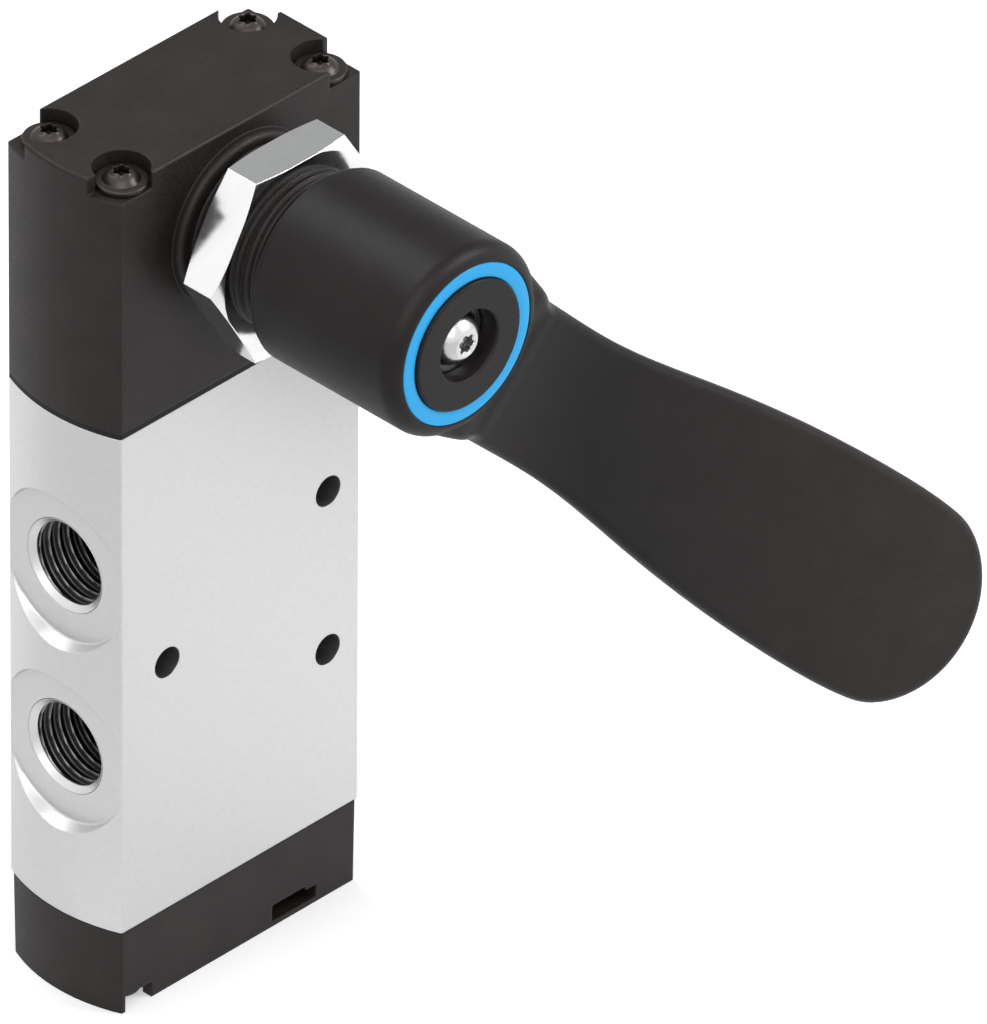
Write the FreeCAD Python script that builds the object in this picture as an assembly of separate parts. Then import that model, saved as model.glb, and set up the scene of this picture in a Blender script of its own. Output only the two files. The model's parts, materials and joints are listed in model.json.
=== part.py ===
import FreeCAD, Part
import math
import os

# Hand lever air valve, 5/2 spool type, G1/4 ports, for a wall or a panel.
# Millimetres. +Z up, +X to the three port end, -Y to the lever.
# The origin is the centre of the base's underside.

V = FreeCAD.Vector

# Fits, each a gap on the radius or on one side
FIT = 0.02
RUN = 0.05
SCREW_GAP = 0.05
PASS_GAP = 0.2
END_GAP = 0.1
SIDE_GAP = 0.3

# Section shared by the base, the metal body, the seals and the housing
BODY_WIDTH = 42.2
BODY_THICK = 20.0
END_BULGE = 2.0
EDGE_ROUND = 0.4

# Heights of the stack
BASE_HEIGHT = 12.55
BASE_SEAL_THICK = 0.3
METAL_HEIGHT = 75.75
HOUSING_SEAL_THICK = 0.8
HOUSING_HEIGHT = 37.1

# Base cover
BASE_INSET_TOP = 0.22
BASE_INSET_FOOT = 0.35
VENT_SLOT_FROM_POCKET = 1.65
VENT_SLOT_LENGTH = 7.85
VENT_SLOT_FLOOR = 0.75
VENT_SLOT_HEIGHT = 2.55
VENT_STEP_LENGTH = 1.9
VENT_STEP_DROP = 0.6
VENT_SLOT_DEPTH = 7.0
VENT_SLOT_ROUND = 0.25

# Air ports: two on the -X end, three on the +X end, G1/4
PORT_R = 6.58
PORT_DEPTH = 10.0
PORT_LEAD = 0.15
LEFT_PORT_PITCH = 27.8
RIGHT_PORT_PITCH = 24.5
SPOTFACE_R = 10.75
SPOTFACE_FLOOR = 0.1
SPOTFACE_BEVEL = 0.8
SPOTFACE_FOOT_ROUND = 0.3
FLOW_HOLE_R = 4.2

# Cross holes for wall mounting, right pair and left single
MOUNT_HOLE_R = 2.2
MOUNT_PAIR_FROM_END = 5.6
MOUNT_PAIR_PITCH = 24.4
MOUNT_SINGLE_FROM_END = 8.1

# Corner screws, M3 with flanged pan head
SCREW_FROM_END = 3.7
SCREW_FROM_FRONT = 3.6
SCREW_R = 1.5
SCREW_FLANGE_R = 3.45
SCREW_FLANGE_THICK = 0.75
SCREW_DOME_R = 2.45
SCREW_HEAD_HEIGHT = 2.07
SCREW_SOCKET_R = 1.3
SCREW_SOCKET_DEPTH = 1.2
TOP_SCREW_GRIP = 4.6
SCREW_HOLE_SPARE = 1.0

# Screws of the base cover, smaller flange, a little further in
FOOT_SCREW_FROM_FRONT = 4.3
FOOT_FLANGE_R = 2.8
BASE_SCREW_GRIP = 6.5

# Pockets of the corner screws
POCKET_R = 3.75
FOOT_POCKET_R = 3.05
TOP_POCKET_DEPTH = 2.5
FOOT_POCKET_DEPTH = 2.4
POCKET_REACH = 1.9
ARCHED_END_REACH = 0.9
FLAT_END_REACH = 2.4
FOOT_CORNER = 0.95

# Spool bore
BORE_R = 7.0
GALLERY_R = 8.0
GALLERY_WIDTH = 5.0
GUIDE_R = 8.5
GUIDE_THICK = 1.7
BUFFER_R = 6.0
BUFFER_THICK = 2.95
BUFFER_STAND = 0.65

# Spool and its seals
STROKE = 6.0
SPOOL_LAND_R = 6.5
SPOOL_LAND_HALF = 1.6
SPOOL_WAIST_R = 3.6
STEM_R = 2.0
SEAL_SECTION_R = 1.15
SEAL_SIDE_GAP = 0.1

# Yoke that the crank pin drives
YOKE_THICK = 4.0
YOKE_WIDTH = 17.0
YOKE_RIM = 2.0
YOKE_FOOT_WALL = 1.3
YOKE_FOOT_HEIGHT = 7.5
YOKE_LIFT = 1.6
YOKE_PIN_R = 0.75
YOKE_PIN_SPARE = 0.2

# Housing
AXIS_BELOW_TOP = 14.1
TOP_ROUND = 0.45
CAVITY_HALF_X = 11.0
CAVITY_HALF_Y = 7.6
CAVITY_ROUND = 1.2
CAVITY_ABOVE_DISC = 1.2
PAD_R = 12.1
PAD_THICK = 1.5
PAD_ROUND = 0.9
NECK_R = 10.5
NECK_LENGTH = 11.9
NECK_CHAMFER = 0.4

# Panel nut, 27 mm across flats, M22x1
NUT_ACROSS = 27.0
NUT_THICK = 6.0
NUT_STANDOFF = 3.4
NUT_CHAMFER = 1.9
NUT_CHAMFER_DROP = 0.55

# Lever shaft and its bearings
SHAFT_R = 5.0
BUSH_WALL = 1.5
BUSH_LENGTH = 5.8
BUSH_FLANGE_R = 8.5
BUSH_FLANGE_THICK = 0.8
SHAFT_SEAL_SECTION_R = 0.9
CRANK_DISC_R = 7.0
CRANK_DISC_THICK = 3.2
CRANK_EASE = 0.05
CRANK_PIN_R = 1.5
CRANK_PIN_SLACK = 0.15
CRANK_PIN_PAST = 0.6
SLOT_END_GAP = 0.3
CLIP_R = 7.3
CLIP_THICK = 0.65
CLIP_GROOVE_R = 4.6
DRIVE_FLAT_HALF = 3.5
DRIVE_LENGTH = 13.9

# Detent spring that holds the crank disc at both ends of its turn
DETENT_THICK = 0.5
DETENT_WIDTH = 3.0
DETENT_HALF_SPAN = 8.0
DETENT_STAND = 1.4
DETENT_NOSE_R = 1.1
DETENT_NOTCH_GAP = 0.2

# Lever: hub
HUB_R = 13.3
HUB_LENGTH = 25.05
HUB_FRONT_ROUND = 2.3
HUB_RIM_STEP = 0.4
HUB_RIM_LENGTH = 0.8
HUB_GAP = 0.4
RING_INSET = 2.15
RING_WIDTH = 2.1
RING_DEPTH = 1.5
HUB_CENTRE_RISE = 0.45
HUB_RECESS_R = 4.95
HUB_RECESS_DEPTH = 3.6
HUB_RECESS_ROUND = 0.3
INSERT_R = 8.0
INSERT_FACE = 2.5
CLIP_ROOM_R = 9.2
WASHER_THICK = 0.8

# Hub screw, M4 button head
HUB_SCREW_R = 2.0
HUB_SCREW_LENGTH = 12.0
HUB_HEAD_R = 3.8
HUB_HEAD_CROWN_R = 1.85
HUB_HEAD_HEIGHT = 2.4
HUB_SOCKET_R = 1.5
HUB_SOCKET_DEPTH = 1.4

# Lever: blade, measured along the lever from the axis
BLADE_THICK = 3.4
BLADE_BEHIND_FACE = 5.25
ROOT_INSET = 1.1
JOINT_BEHIND_WALL = 4.0
JOINT_INSET = 2.3
BLEND_OUTSIDE_WALL = 0.3
BLEND_WIDER = 0.3
WAIST_INSET = 3.35
WAIST_OUTSIDE_WALL = 6.7
WAIST_TO = 34.0
FLARE_HALF = 11.85
FLARE_AT = 50.0
BELLY_HALF = 14.15
BELLY_AT = 81.0
SHOULDER_HALF = 13.75
SHOULDER_AT = 92.0
TIP_AT = 104.3
TIP_R = 14.1
TIP_HALF_ANGLE = 60.0
SWEEP_SLOPE = 0.264
SWEEP_OUTSIDE_WALL = 13.7
SWEEP_BEND = 8.0
ROOT_BELOW_FACE = 0.35
ROOT_BACK_RISE = 3.4
JOINT_BACK_RISE = 2.8
BLEND_BACK_RISE = 0.9
BLADE_EDGE_ROUND = 1.3
LEVER_REST_TURN = 45.0

# Places worked out from the sizes above
SCREW_X = BODY_WIDTH / 2 - SCREW_FROM_END
SCREW_Y = BODY_THICK / 2 - SCREW_FROM_FRONT
FOOT_SCREW_Y = BODY_THICK / 2 - FOOT_SCREW_FROM_FRONT
BASE_SEAL_Z = BASE_HEIGHT
METAL_Z = BASE_SEAL_Z + BASE_SEAL_THICK
HOUSING_SEAL_Z = METAL_Z + METAL_HEIGHT
HOUSING_Z = HOUSING_SEAL_Z + HOUSING_SEAL_THICK
HOUSING_TOP = HOUSING_Z + HOUSING_HEIGHT
METAL_MID = METAL_Z + METAL_HEIGHT / 2
AXIS_Z = HOUSING_TOP - AXIS_BELOW_TOP
FRONT = -BODY_THICK / 2
PAD_FACE = FRONT - PAD_THICK
NECK_END = PAD_FACE - NECK_LENGTH
NUT_BACK = PAD_FACE - NUT_STANDOFF
NUT_FACE = NUT_BACK - NUT_THICK
FRONT_FLANGE = NECK_END - BUSH_FLANGE_THICK
CAVITY_FRONT = -CAVITY_HALF_Y
REAR_FLANGE = CAVITY_FRONT + BUSH_FLANGE_THICK
DISC_FRONT = REAR_FLANGE + END_GAP
DISC_BACK = DISC_FRONT + CRANK_DISC_THICK
CLIP_BACK = FRONT_FLANGE - END_GAP
CLIP_FRONT = CLIP_BACK - CLIP_THICK
HUB_BACK = FRONT_FLANGE - HUB_GAP
HUB_FACE = HUB_BACK - HUB_LENGTH
CENTRE_FACE = HUB_FACE - HUB_CENTRE_RISE
RING_R_OUT = HUB_R - RING_INSET
RING_R_IN = RING_R_OUT - RING_WIDTH
ROOT_HALF = HUB_R - ROOT_INSET
JOINT_AT = HUB_R - JOINT_BEHIND_WALL
BLEND_AT = HUB_R + BLEND_OUTSIDE_WALL
WAIST_HALF = HUB_R - WAIST_INSET
WAIST_FROM = HUB_R + WAIST_OUTSIDE_WALL
SWEEP_FROM = HUB_R + SWEEP_OUTSIDE_WALL
INSERT_BACK = CLIP_FRONT - SIDE_GAP
INSERT_FRONT = CENTRE_FACE + HUB_RECESS_DEPTH
SHAFT_END = INSERT_FRONT + INSERT_FACE
WASHER_FRONT = INSERT_FRONT - WASHER_THICK
BUSH_R = SHAFT_R + BUSH_WALL
CRANK_R = (STROKE / 2 - CRANK_EASE) / math.sin(math.radians(LEVER_REST_TURN))
LEFT_PORTS = [METAL_MID + k * LEFT_PORT_PITCH for k in (0.5, -0.5)]
RIGHT_PORTS = [METAL_MID + k * RIGHT_PORT_PITCH for k in (1, 0, -1)]
BUFFER_TOP = METAL_Z + BUFFER_STAND
SPOOL_FOOT = BUFFER_TOP + END_GAP
GUIDE_Z = HOUSING_SEAL_Z - GUIDE_THICK
SPOOL_SHOULDER = GUIDE_Z - END_GAP - STROKE
CAVITY_TOP = AXIS_Z + CRANK_DISC_R + CAVITY_ABOVE_DISC
YOKE_FOOT_R = STEM_R + YOKE_FOOT_WALL
YOKE_SLOT_Z = AXIS_Z - STROKE / 2
YOKE_Z = HOUSING_Z + YOKE_LIFT
YOKE_TOP = YOKE_SLOT_Z + CRANK_PIN_R + CRANK_PIN_SLACK + YOKE_RIM
CORNERS = [(sx, sy) for sx in (-1, 1) for sy in (-1, 1)]


def rod_y(radius, y0, y1, x=0.0, z=AXIS_Z):
    """Cylinder along Y between two depths."""
    return Part.makeCylinder(radius, abs(y1 - y0), V(x, min(y0, y1), z), V(0, 1, 0))


def rod_z(radius, z0, z1, x=0.0, y=0.0):
    """Cylinder along Z between two heights."""
    return Part.makeCylinder(radius, z1 - z0, V(x, y, z0), V(0, 0, 1))


def block(x0, x1, y0, y1, z0, z1):
    """Box between two corners."""
    return Part.makeBox(x1 - x0, y1 - y0, z1 - z0, V(x0, y0, z0))


def turned_y(points):
    """Solid turned about the lever axis from points of radius and depth."""
    ring = [V(r, y, AXIS_Z) for r, y in points]
    face = Part.Face(Part.makePolygon(ring + [ring[0]]))
    return face.revolve(V(0, 0, AXIS_Z), V(0, 1, 0), 360)


def section_wire(inset, z):
    """Outline of the valve: flat front, back and +X end, arched -X end."""
    half_x = BODY_WIDTH / 2 - inset
    half_y = BODY_THICK / 2 - inset
    right = Part.LineSegment(V(half_x, -half_y, z), V(half_x, half_y, z))
    left = Part.Arc(V(-half_x, half_y, z), V(-half_x - END_BULGE, 0, z), V(-half_x, -half_y, z))
    front = Part.LineSegment(V(-half_x, -half_y, z), V(half_x, -half_y, z))
    back = Part.LineSegment(V(half_x, half_y, z), V(-half_x, half_y, z))
    return Part.Wire([front.toShape(), right.toShape(), back.toShape(), left.toShape()])


def section_block(z0, z1, inset_foot=0.0, inset_top=0.0):
    """Length of the valve's section, with its upright corners rounded."""
    solid = Part.makeLoft([section_wire(inset_foot, z0), section_wire(inset_top, z1)], True)
    upright = [e for e in solid.Edges if e.BoundBox.ZLength > (z1 - z0) / 2]
    return solid.makeFillet(EDGE_ROUND, upright)


def cut_all(solid, tools):
    """The solid with every tool cut from it."""
    return solid.cut(tools)


def in_corner(shape, sx, sy):
    """The shape made for the +X +Y corner, mirrored to the corner of these signs."""
    if sx < 0:
        shape = shape.mirror(V(0, 0, 0), V(1, 0, 0))
    if sy < 0:
        shape = shape.mirror(V(0, 0, 0), V(0, 1, 0))
    return shape


def top_pocket(sx, sy):
    """Pocket round a screw head in the housing's top: a round seat that breaks out of the corner."""
    z0 = HOUSING_TOP - TOP_POCKET_DEPTH
    seat = rod_z(POCKET_R, z0, HOUSING_TOP, SCREW_X, SCREW_Y)
    reach = FLAT_END_REACH if sx > 0 else ARCHED_END_REACH
    side = block(SCREW_X - POCKET_REACH, BODY_WIDTH, SCREW_Y, BODY_THICK, z0, HOUSING_TOP)
    end = block(SCREW_X, BODY_WIDTH, SCREW_Y - reach, BODY_THICK, z0, HOUSING_TOP)
    return in_corner(seat.fuse([side, end]), sx, sy)


def foot_pocket(sx, sy):
    """Pocket round a screw head under the base: a round seat, open to the side on the left pair."""
    shape = rod_z(FOOT_POCKET_R, 0, FOOT_POCKET_DEPTH, SCREW_X, FOOT_SCREW_Y)
    if sx < 0:
        edge = BODY_WIDTH / 2 - FOOT_CORNER
        side = block(SCREW_X - POCKET_REACH, edge, FOOT_SCREW_Y, BODY_THICK, 0, FOOT_POCKET_DEPTH)
        shape = shape.fuse(side)
    return in_corner(shape, sx, sy)


def corner_rods(radius, z0, z1, y=SCREW_Y):
    """One rod through each corner screw's place."""
    return [rod_z(radius, z0, z1, sx * SCREW_X, sy * y) for sx, sy in CORNERS]


def corner_screw(length, flange_r):
    """Screw with its seat at height 0, shank downwards."""
    flange = rod_z(flange_r, 0, SCREW_FLANGE_THICK)
    rise = SCREW_HEAD_HEIGHT - SCREW_FLANGE_THICK
    ball_r = (SCREW_DOME_R ** 2 + rise ** 2) / (2 * rise)
    ball = Part.makeSphere(ball_r, V(0, 0, SCREW_HEAD_HEIGHT - ball_r))
    dome = ball.common(rod_z(SCREW_DOME_R, SCREW_FLANGE_THICK, SCREW_HEAD_HEIGHT))
    socket_floor = SCREW_HEAD_HEIGHT - SCREW_SOCKET_DEPTH
    socket = rod_z(SCREW_SOCKET_R, socket_floor, SCREW_HEAD_HEIGHT)
    return flange.fuse([dome, rod_z(SCREW_R, -length, 0)]).cut(socket)


def at_corners(screw, seat_z, y):
    """Four of this screw on their seats."""
    group = []
    for sx, sy in CORNERS:
        one = screw.copy()
        one.translate(V(sx * SCREW_X, sy * y, seat_z))
        group.append(one)
    return Part.makeCompound(group)


def base_screws():
    """Four screws from below through the base cover into the metal body."""
    screw = corner_screw(METAL_Z + BASE_SCREW_GRIP - FOOT_POCKET_DEPTH, FOOT_FLANGE_R)
    screw.rotate(V(0, 0, 0), V(1, 0, 0), 180)
    return at_corners(screw, FOOT_POCKET_DEPTH, FOOT_SCREW_Y)


def housing_screws():
    """Four long screws through the housing into the metal body."""
    seat = HOUSING_TOP - TOP_POCKET_DEPTH
    return at_corners(corner_screw(seat - HOUSING_SEAL_Z + TOP_SCREW_GRIP, SCREW_FLANGE_R), seat, SCREW_Y)


def base_cover():
    """Moulded end cover under the metal body, with draft and a vent slot."""
    cover = section_block(0, BASE_HEIGHT, BASE_INSET_FOOT, BASE_INSET_TOP)
    slot_end = SCREW_X - POCKET_REACH - VENT_SLOT_FROM_POCKET
    slot_top = VENT_SLOT_FLOOR + VENT_SLOT_HEIGHT
    inner = FRONT + VENT_SLOT_DEPTH
    slot = block(slot_end - VENT_SLOT_LENGTH, slot_end, FRONT, inner, VENT_SLOT_FLOOR, slot_top)
    step = block(slot_end - VENT_STEP_LENGTH, slot_end, FRONT, inner,
                 slot_top - VENT_STEP_DROP, slot_top)
    slot = slot.cut(step)
    along = [e for e in slot.Edges if e.BoundBox.YLength > VENT_SLOT_DEPTH / 2]
    tools = [slot.makeFillet(VENT_SLOT_ROUND, along)]
    tools += [foot_pocket(sx, sy) for sx, sy in CORNERS]
    tools += corner_rods(SCREW_R + PASS_GAP, FOOT_POCKET_DEPTH, BASE_HEIGHT, FOOT_SCREW_Y)
    tools.append(rod_z(BUFFER_R + FIT, BUFFER_TOP - BUFFER_THICK, BASE_HEIGHT))
    return cut_all(cover, tools)


def base_seal():
    """Flat seal between the base cover and the metal body."""
    seal = section_block(BASE_SEAL_Z, METAL_Z, BASE_INSET_TOP, BASE_INSET_TOP)
    tools = corner_rods(SCREW_R + PASS_GAP, BASE_SEAL_Z, METAL_Z, FOOT_SCREW_Y)
    tools.append(rod_z(BUFFER_R + PASS_GAP, BASE_SEAL_Z, METAL_Z))
    return cut_all(seal, tools)


def port_tool(side, z):
    """All that is cut for one port: bore, lead and flow hole, and a spotface on the arched end."""
    arched = side < 0
    face = BODY_WIDTH / 2 + (SPOTFACE_FLOOR if arched else 0)
    bore = Part.makeCylinder(PORT_R, PORT_DEPTH, V(face - PORT_DEPTH, 0, 0), V(1, 0, 0))
    lead = Part.makeCone(PORT_R, PORT_R + PORT_LEAD, PORT_LEAD, V(face - PORT_LEAD, 0, 0), V(1, 0, 0))
    flow = Part.makeCylinder(FLOW_HOLE_R, face - PORT_DEPTH, V(0, 0, 0), V(1, 0, 0))
    tool = bore.fuse([lead, flow])
    if arched:
        spot = Part.makeCone(SPOTFACE_R, SPOTFACE_R + SPOTFACE_BEVEL, END_BULGE, V(face, 0, 0), V(1, 0, 0))
        foot_rim = [e for e in spot.Edges if e.BoundBox.XMax < face + FIT]
        tool = tool.fuse(spot.makeFillet(SPOTFACE_FOOT_ROUND, foot_rim))
        tool = tool.mirror(V(0, 0, 0), V(1, 0, 0))
    tool.translate(V(0, 0, z))
    return tool


def valve_body():
    """Machined metal body: ports, spool bore with five galleries, cross holes, screw holes."""
    body = section_block(METAL_Z, HOUSING_SEAL_Z)
    pair_x = BODY_WIDTH / 2 - MOUNT_PAIR_FROM_END
    single_x = BODY_WIDTH / 2 - MOUNT_SINGLE_FROM_END
    tools = [port_tool(-1, z) for z in LEFT_PORTS]
    tools += [port_tool(1, z) for z in RIGHT_PORTS]
    tools += [rod_y(MOUNT_HOLE_R, -BODY_THICK, BODY_THICK, pair_x, METAL_MID + k * MOUNT_PAIR_PITCH)
              for k in (0.5, -0.5)]
    tools.append(rod_y(MOUNT_HOLE_R, -BODY_THICK, BODY_THICK, -single_x, METAL_MID))
    tools.append(rod_z(BORE_R, METAL_Z, HOUSING_SEAL_Z))
    tools += [rod_z(GALLERY_R, z - GALLERY_WIDTH / 2, z + GALLERY_WIDTH / 2)
              for z in LEFT_PORTS + RIGHT_PORTS]
    tools.append(rod_z(GUIDE_R + FIT, GUIDE_Z, HOUSING_SEAL_Z))
    top_tip = HOUSING_SEAL_Z - TOP_SCREW_GRIP - SCREW_HOLE_SPARE
    foot_tip = METAL_Z + BASE_SCREW_GRIP + SCREW_HOLE_SPARE
    tools += corner_rods(SCREW_R + SCREW_GAP, top_tip, HOUSING_SEAL_Z)
    tools += corner_rods(SCREW_R + SCREW_GAP, METAL_Z, foot_tip, FOOT_SCREW_Y)
    return cut_all(body, tools)


def cavity_tool(z0, z1):
    """Room for the crank and the yoke, rounded in plan."""
    room = block(-CAVITY_HALF_X, CAVITY_HALF_X, -CAVITY_HALF_Y, CAVITY_HALF_Y, z0, z1)
    upright = [e for e in room.Edges if e.BoundBox.ZLength > (z1 - z0) / 2]
    return room.makeFillet(CAVITY_ROUND, upright)


def housing_seal():
    """Flat seal under the housing, open over the cavity."""
    seal = section_block(HOUSING_SEAL_Z, HOUSING_Z)
    tools = corner_rods(SCREW_R + PASS_GAP, HOUSING_SEAL_Z, HOUSING_Z)
    tools.append(cavity_tool(HOUSING_SEAL_Z, HOUSING_Z))
    return cut_all(seal, tools)


def actuator_housing():
    """Moulded housing: screw pockets on top, round pad and threaded neck in front."""
    shell = section_block(HOUSING_Z, HOUSING_TOP)
    rim = [e for e in shell.Edges if e.BoundBox.ZMin > HOUSING_TOP - EDGE_ROUND / 2]
    shell = shell.makeFillet(TOP_ROUND, rim)
    pad = rod_y(PAD_R, FRONT, PAD_FACE)
    pad_rim = [e for e in pad.Edges if e.BoundBox.YMax < PAD_FACE + PAD_ROUND / 2]
    pad = pad.makeFillet(PAD_ROUND, pad_rim)
    neck = turned_y([(0, FRONT), (NECK_R, FRONT), (NECK_R, NECK_END + NECK_CHAMFER),
                     (NECK_R - NECK_CHAMFER, NECK_END), (0, NECK_END)])
    shell = shell.fuse([pad, neck])
    tools = [top_pocket(sx, sy) for sx, sy in CORNERS]
    tools += corner_rods(SCREW_R + PASS_GAP, HOUSING_Z, HOUSING_TOP)
    tools.append(cavity_tool(HOUSING_Z, CAVITY_TOP))
    tools.append(rod_y(BUSH_R + FIT, CAVITY_FRONT, NECK_END))
    return cut_all(shell, tools)


def panel_nut():
    """Hexagon nut on the neck, flats at top and bottom, corners chamfered on both faces."""
    corner_r = NUT_ACROSS / 2 / math.cos(math.radians(30))
    points = [V(corner_r * math.cos(math.radians(60 * k)), NUT_FACE,
                AXIS_Z + corner_r * math.sin(math.radians(60 * k))) for k in range(6)]
    prism = Part.Face(Part.makePolygon(points + [points[0]])).extrude(V(0, NUT_THICK, 0))
    face_r = corner_r - NUT_CHAMFER
    mask = turned_y([(0, NUT_FACE), (face_r, NUT_FACE), (corner_r, NUT_FACE + NUT_CHAMFER_DROP),
                     (corner_r, NUT_BACK - NUT_CHAMFER_DROP), (face_r, NUT_BACK), (0, NUT_BACK)])
    return prism.common(mask).cut(rod_y(NECK_R + RUN, NUT_BACK, NUT_FACE))


def front_bush():
    """Flanged plain bearing in the mouth of the neck."""
    sleeve = rod_y(BUSH_R, NECK_END, NECK_END + BUSH_LENGTH)
    flange = rod_y(BUSH_FLANGE_R, FRONT_FLANGE, NECK_END)
    return sleeve.fuse(flange).cut(rod_y(SHAFT_R + RUN, FRONT_FLANGE, NECK_END + BUSH_LENGTH))


def rear_bush():
    """Flanged plain bearing at the inner end of the neck, flange inside the cavity."""
    sleeve = rod_y(BUSH_R, CAVITY_FRONT - BUSH_LENGTH, CAVITY_FRONT)
    flange = rod_y(CRANK_DISC_R, CAVITY_FRONT, REAR_FLANGE)
    return sleeve.fuse(flange).cut(rod_y(SHAFT_R + RUN, CAVITY_FRONT - BUSH_LENGTH, REAR_FLANGE))


def seal_y():
    """Depth of the shaft seal, midway between the two bushes."""
    return (NECK_END + BUSH_LENGTH + CAVITY_FRONT - BUSH_LENGTH) / 2


def shaft_seal():
    """Ring seal on the shaft between the bushes."""
    mean_r = BUSH_R - RUN - SHAFT_SEAL_SECTION_R
    return Part.makeTorus(mean_r, SHAFT_SEAL_SECTION_R, V(0, seal_y(), AXIS_Z), V(0, 1, 0))


def crank_pin_place():
    """Place of the crank pin in front view with the lever at rest."""
    offset = CRANK_R * math.sin(math.radians(LEVER_REST_TURN))
    return -offset, AXIS_Z - offset


def lever_shaft():
    """Steel shaft: crank disc with detent notches inside, drive flats and thread hole outside."""
    groove_r = BUSH_R - RUN - 2 * SHAFT_SEAL_SECTION_R - RUN
    groove_half = SHAFT_SEAL_SECTION_R + SEAL_SIDE_GAP
    flats_from = SHAFT_END + DRIVE_LENGTH
    shaft = rod_y(SHAFT_R, DISC_FRONT, SHAFT_END).fuse(rod_y(CRANK_DISC_R, DISC_FRONT, DISC_BACK))
    tools = []
    groove = rod_y(SHAFT_R + RUN, seal_y() - groove_half, seal_y() + groove_half)
    tools.append(groove.cut(rod_y(groove_r, seal_y() - groove_half, seal_y() + groove_half)))
    clip_groove = rod_y(SHAFT_R + RUN, CLIP_FRONT - FIT, CLIP_BACK + FIT)
    tools.append(clip_groove.cut(rod_y(CLIP_GROOVE_R - FIT, CLIP_FRONT - FIT, CLIP_BACK + FIT)))
    for low, high in ((DRIVE_FLAT_HALF, SHAFT_R), (-SHAFT_R, -DRIVE_FLAT_HALF)):
        flat = block(-SHAFT_R, SHAFT_R, SHAFT_END, flats_from, AXIS_Z + low, AXIS_Z + high)
        flat.rotate(V(0, 0, AXIS_Z), V(0, 1, 0), LEVER_REST_TURN)
        tools.append(flat)
    thread_end = WASHER_FRONT + HUB_SCREW_LENGTH + SCREW_HOLE_SPARE
    tools.append(rod_y(HUB_SCREW_R + SCREW_GAP, SHAFT_END, thread_end))
    pin_x, pin_z = crank_pin_place()
    tools.append(rod_y(CRANK_PIN_R + FIT, DISC_FRONT, DISC_BACK, pin_x, pin_z))
    notch_at = CRANK_DISC_R + DETENT_STAND / 2
    notch_r = DETENT_NOSE_R + DETENT_NOTCH_GAP
    for x, z in ((notch_at, 0), (0, notch_at)):
        tools.append(rod_y(notch_r, DISC_FRONT, DISC_BACK, x, AXIS_Z + z))
    return cut_all(shaft, tools)


def shaft_clip():
    """Retaining ring in its groove, which keeps the shaft in when the lever is off."""
    clip = rod_y(CLIP_R, CLIP_FRONT, CLIP_BACK).cut(rod_y(CLIP_GROOVE_R, CLIP_FRONT, CLIP_BACK))
    mouth = block(-CLIP_GROOVE_R / 2, CLIP_GROOVE_R / 2, CLIP_FRONT, CLIP_BACK, AXIS_Z, AXIS_Z + CLIP_R)
    return clip.cut(mouth)


def crank_pin():
    """Dowel pressed in the crank disc, through the yoke's slot."""
    pin_x, pin_z = crank_pin_place()
    return rod_y(CRANK_PIN_R, DISC_FRONT, YOKE_THICK / 2 + CRANK_PIN_PAST, pin_x, pin_z)


def detent_spring():
    """Bowed leaf spring against the cavity wall, its nose in the notch of the crank disc."""
    y0 = DISC_FRONT
    wall = CAVITY_HALF_X - END_GAP
    inner = CRANK_DISC_R + DETENT_STAND
    low = AXIS_Z - DETENT_HALF_SPAN
    high = AXIS_Z + DETENT_HALF_SPAN
    near = Part.Arc(V(wall - DETENT_THICK, y0, low), V(inner, y0, AXIS_Z), V(wall - DETENT_THICK, y0, high))
    far = Part.Arc(V(wall, y0, high), V(inner + DETENT_THICK, y0, AXIS_Z), V(wall, y0, low))
    top = Part.LineSegment(V(wall - DETENT_THICK, y0, high), V(wall, y0, high))
    foot = Part.LineSegment(V(wall, y0, low), V(wall - DETENT_THICK, y0, low))
    band = Part.Wire([near.toShape(), top.toShape(), far.toShape(), foot.toShape()])
    leaf = Part.Face(band).extrude(V(0, DETENT_WIDTH, 0))
    nose_x = CRANK_DISC_R + DETENT_STAND / 2
    return leaf.fuse(rod_y(DETENT_NOSE_R, y0, y0 + DETENT_WIDTH, nose_x, AXIS_Z))


def guide_ring():
    """Ring in the top of the bore that guides the spool's stem and stops its shoulder."""
    return rod_z(GUIDE_R, GUIDE_Z, HOUSING_SEAL_Z).cut(rod_z(STEM_R + RUN, GUIDE_Z, HOUSING_SEAL_Z))


def lower_buffer():
    """Rubber disc in the base cover under the spool."""
    return rod_z(BUFFER_R, BUFFER_TOP - BUFFER_THICK, BUFFER_TOP)


def seal_heights():
    """Heights of the spool's six ring seals with the spool down."""
    upper = LEFT_PORTS[0]
    lower = LEFT_PORTS[1]
    return [SPOOL_FOOT + SPOOL_LAND_HALF, lower - STROKE, lower, upper - STROKE, upper,
            SPOOL_SHOULDER - SPOOL_LAND_HALF]


def seal_mean_r():
    """Radius of the ring seals' section centre."""
    return BORE_R - RUN - SEAL_SECTION_R


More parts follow.
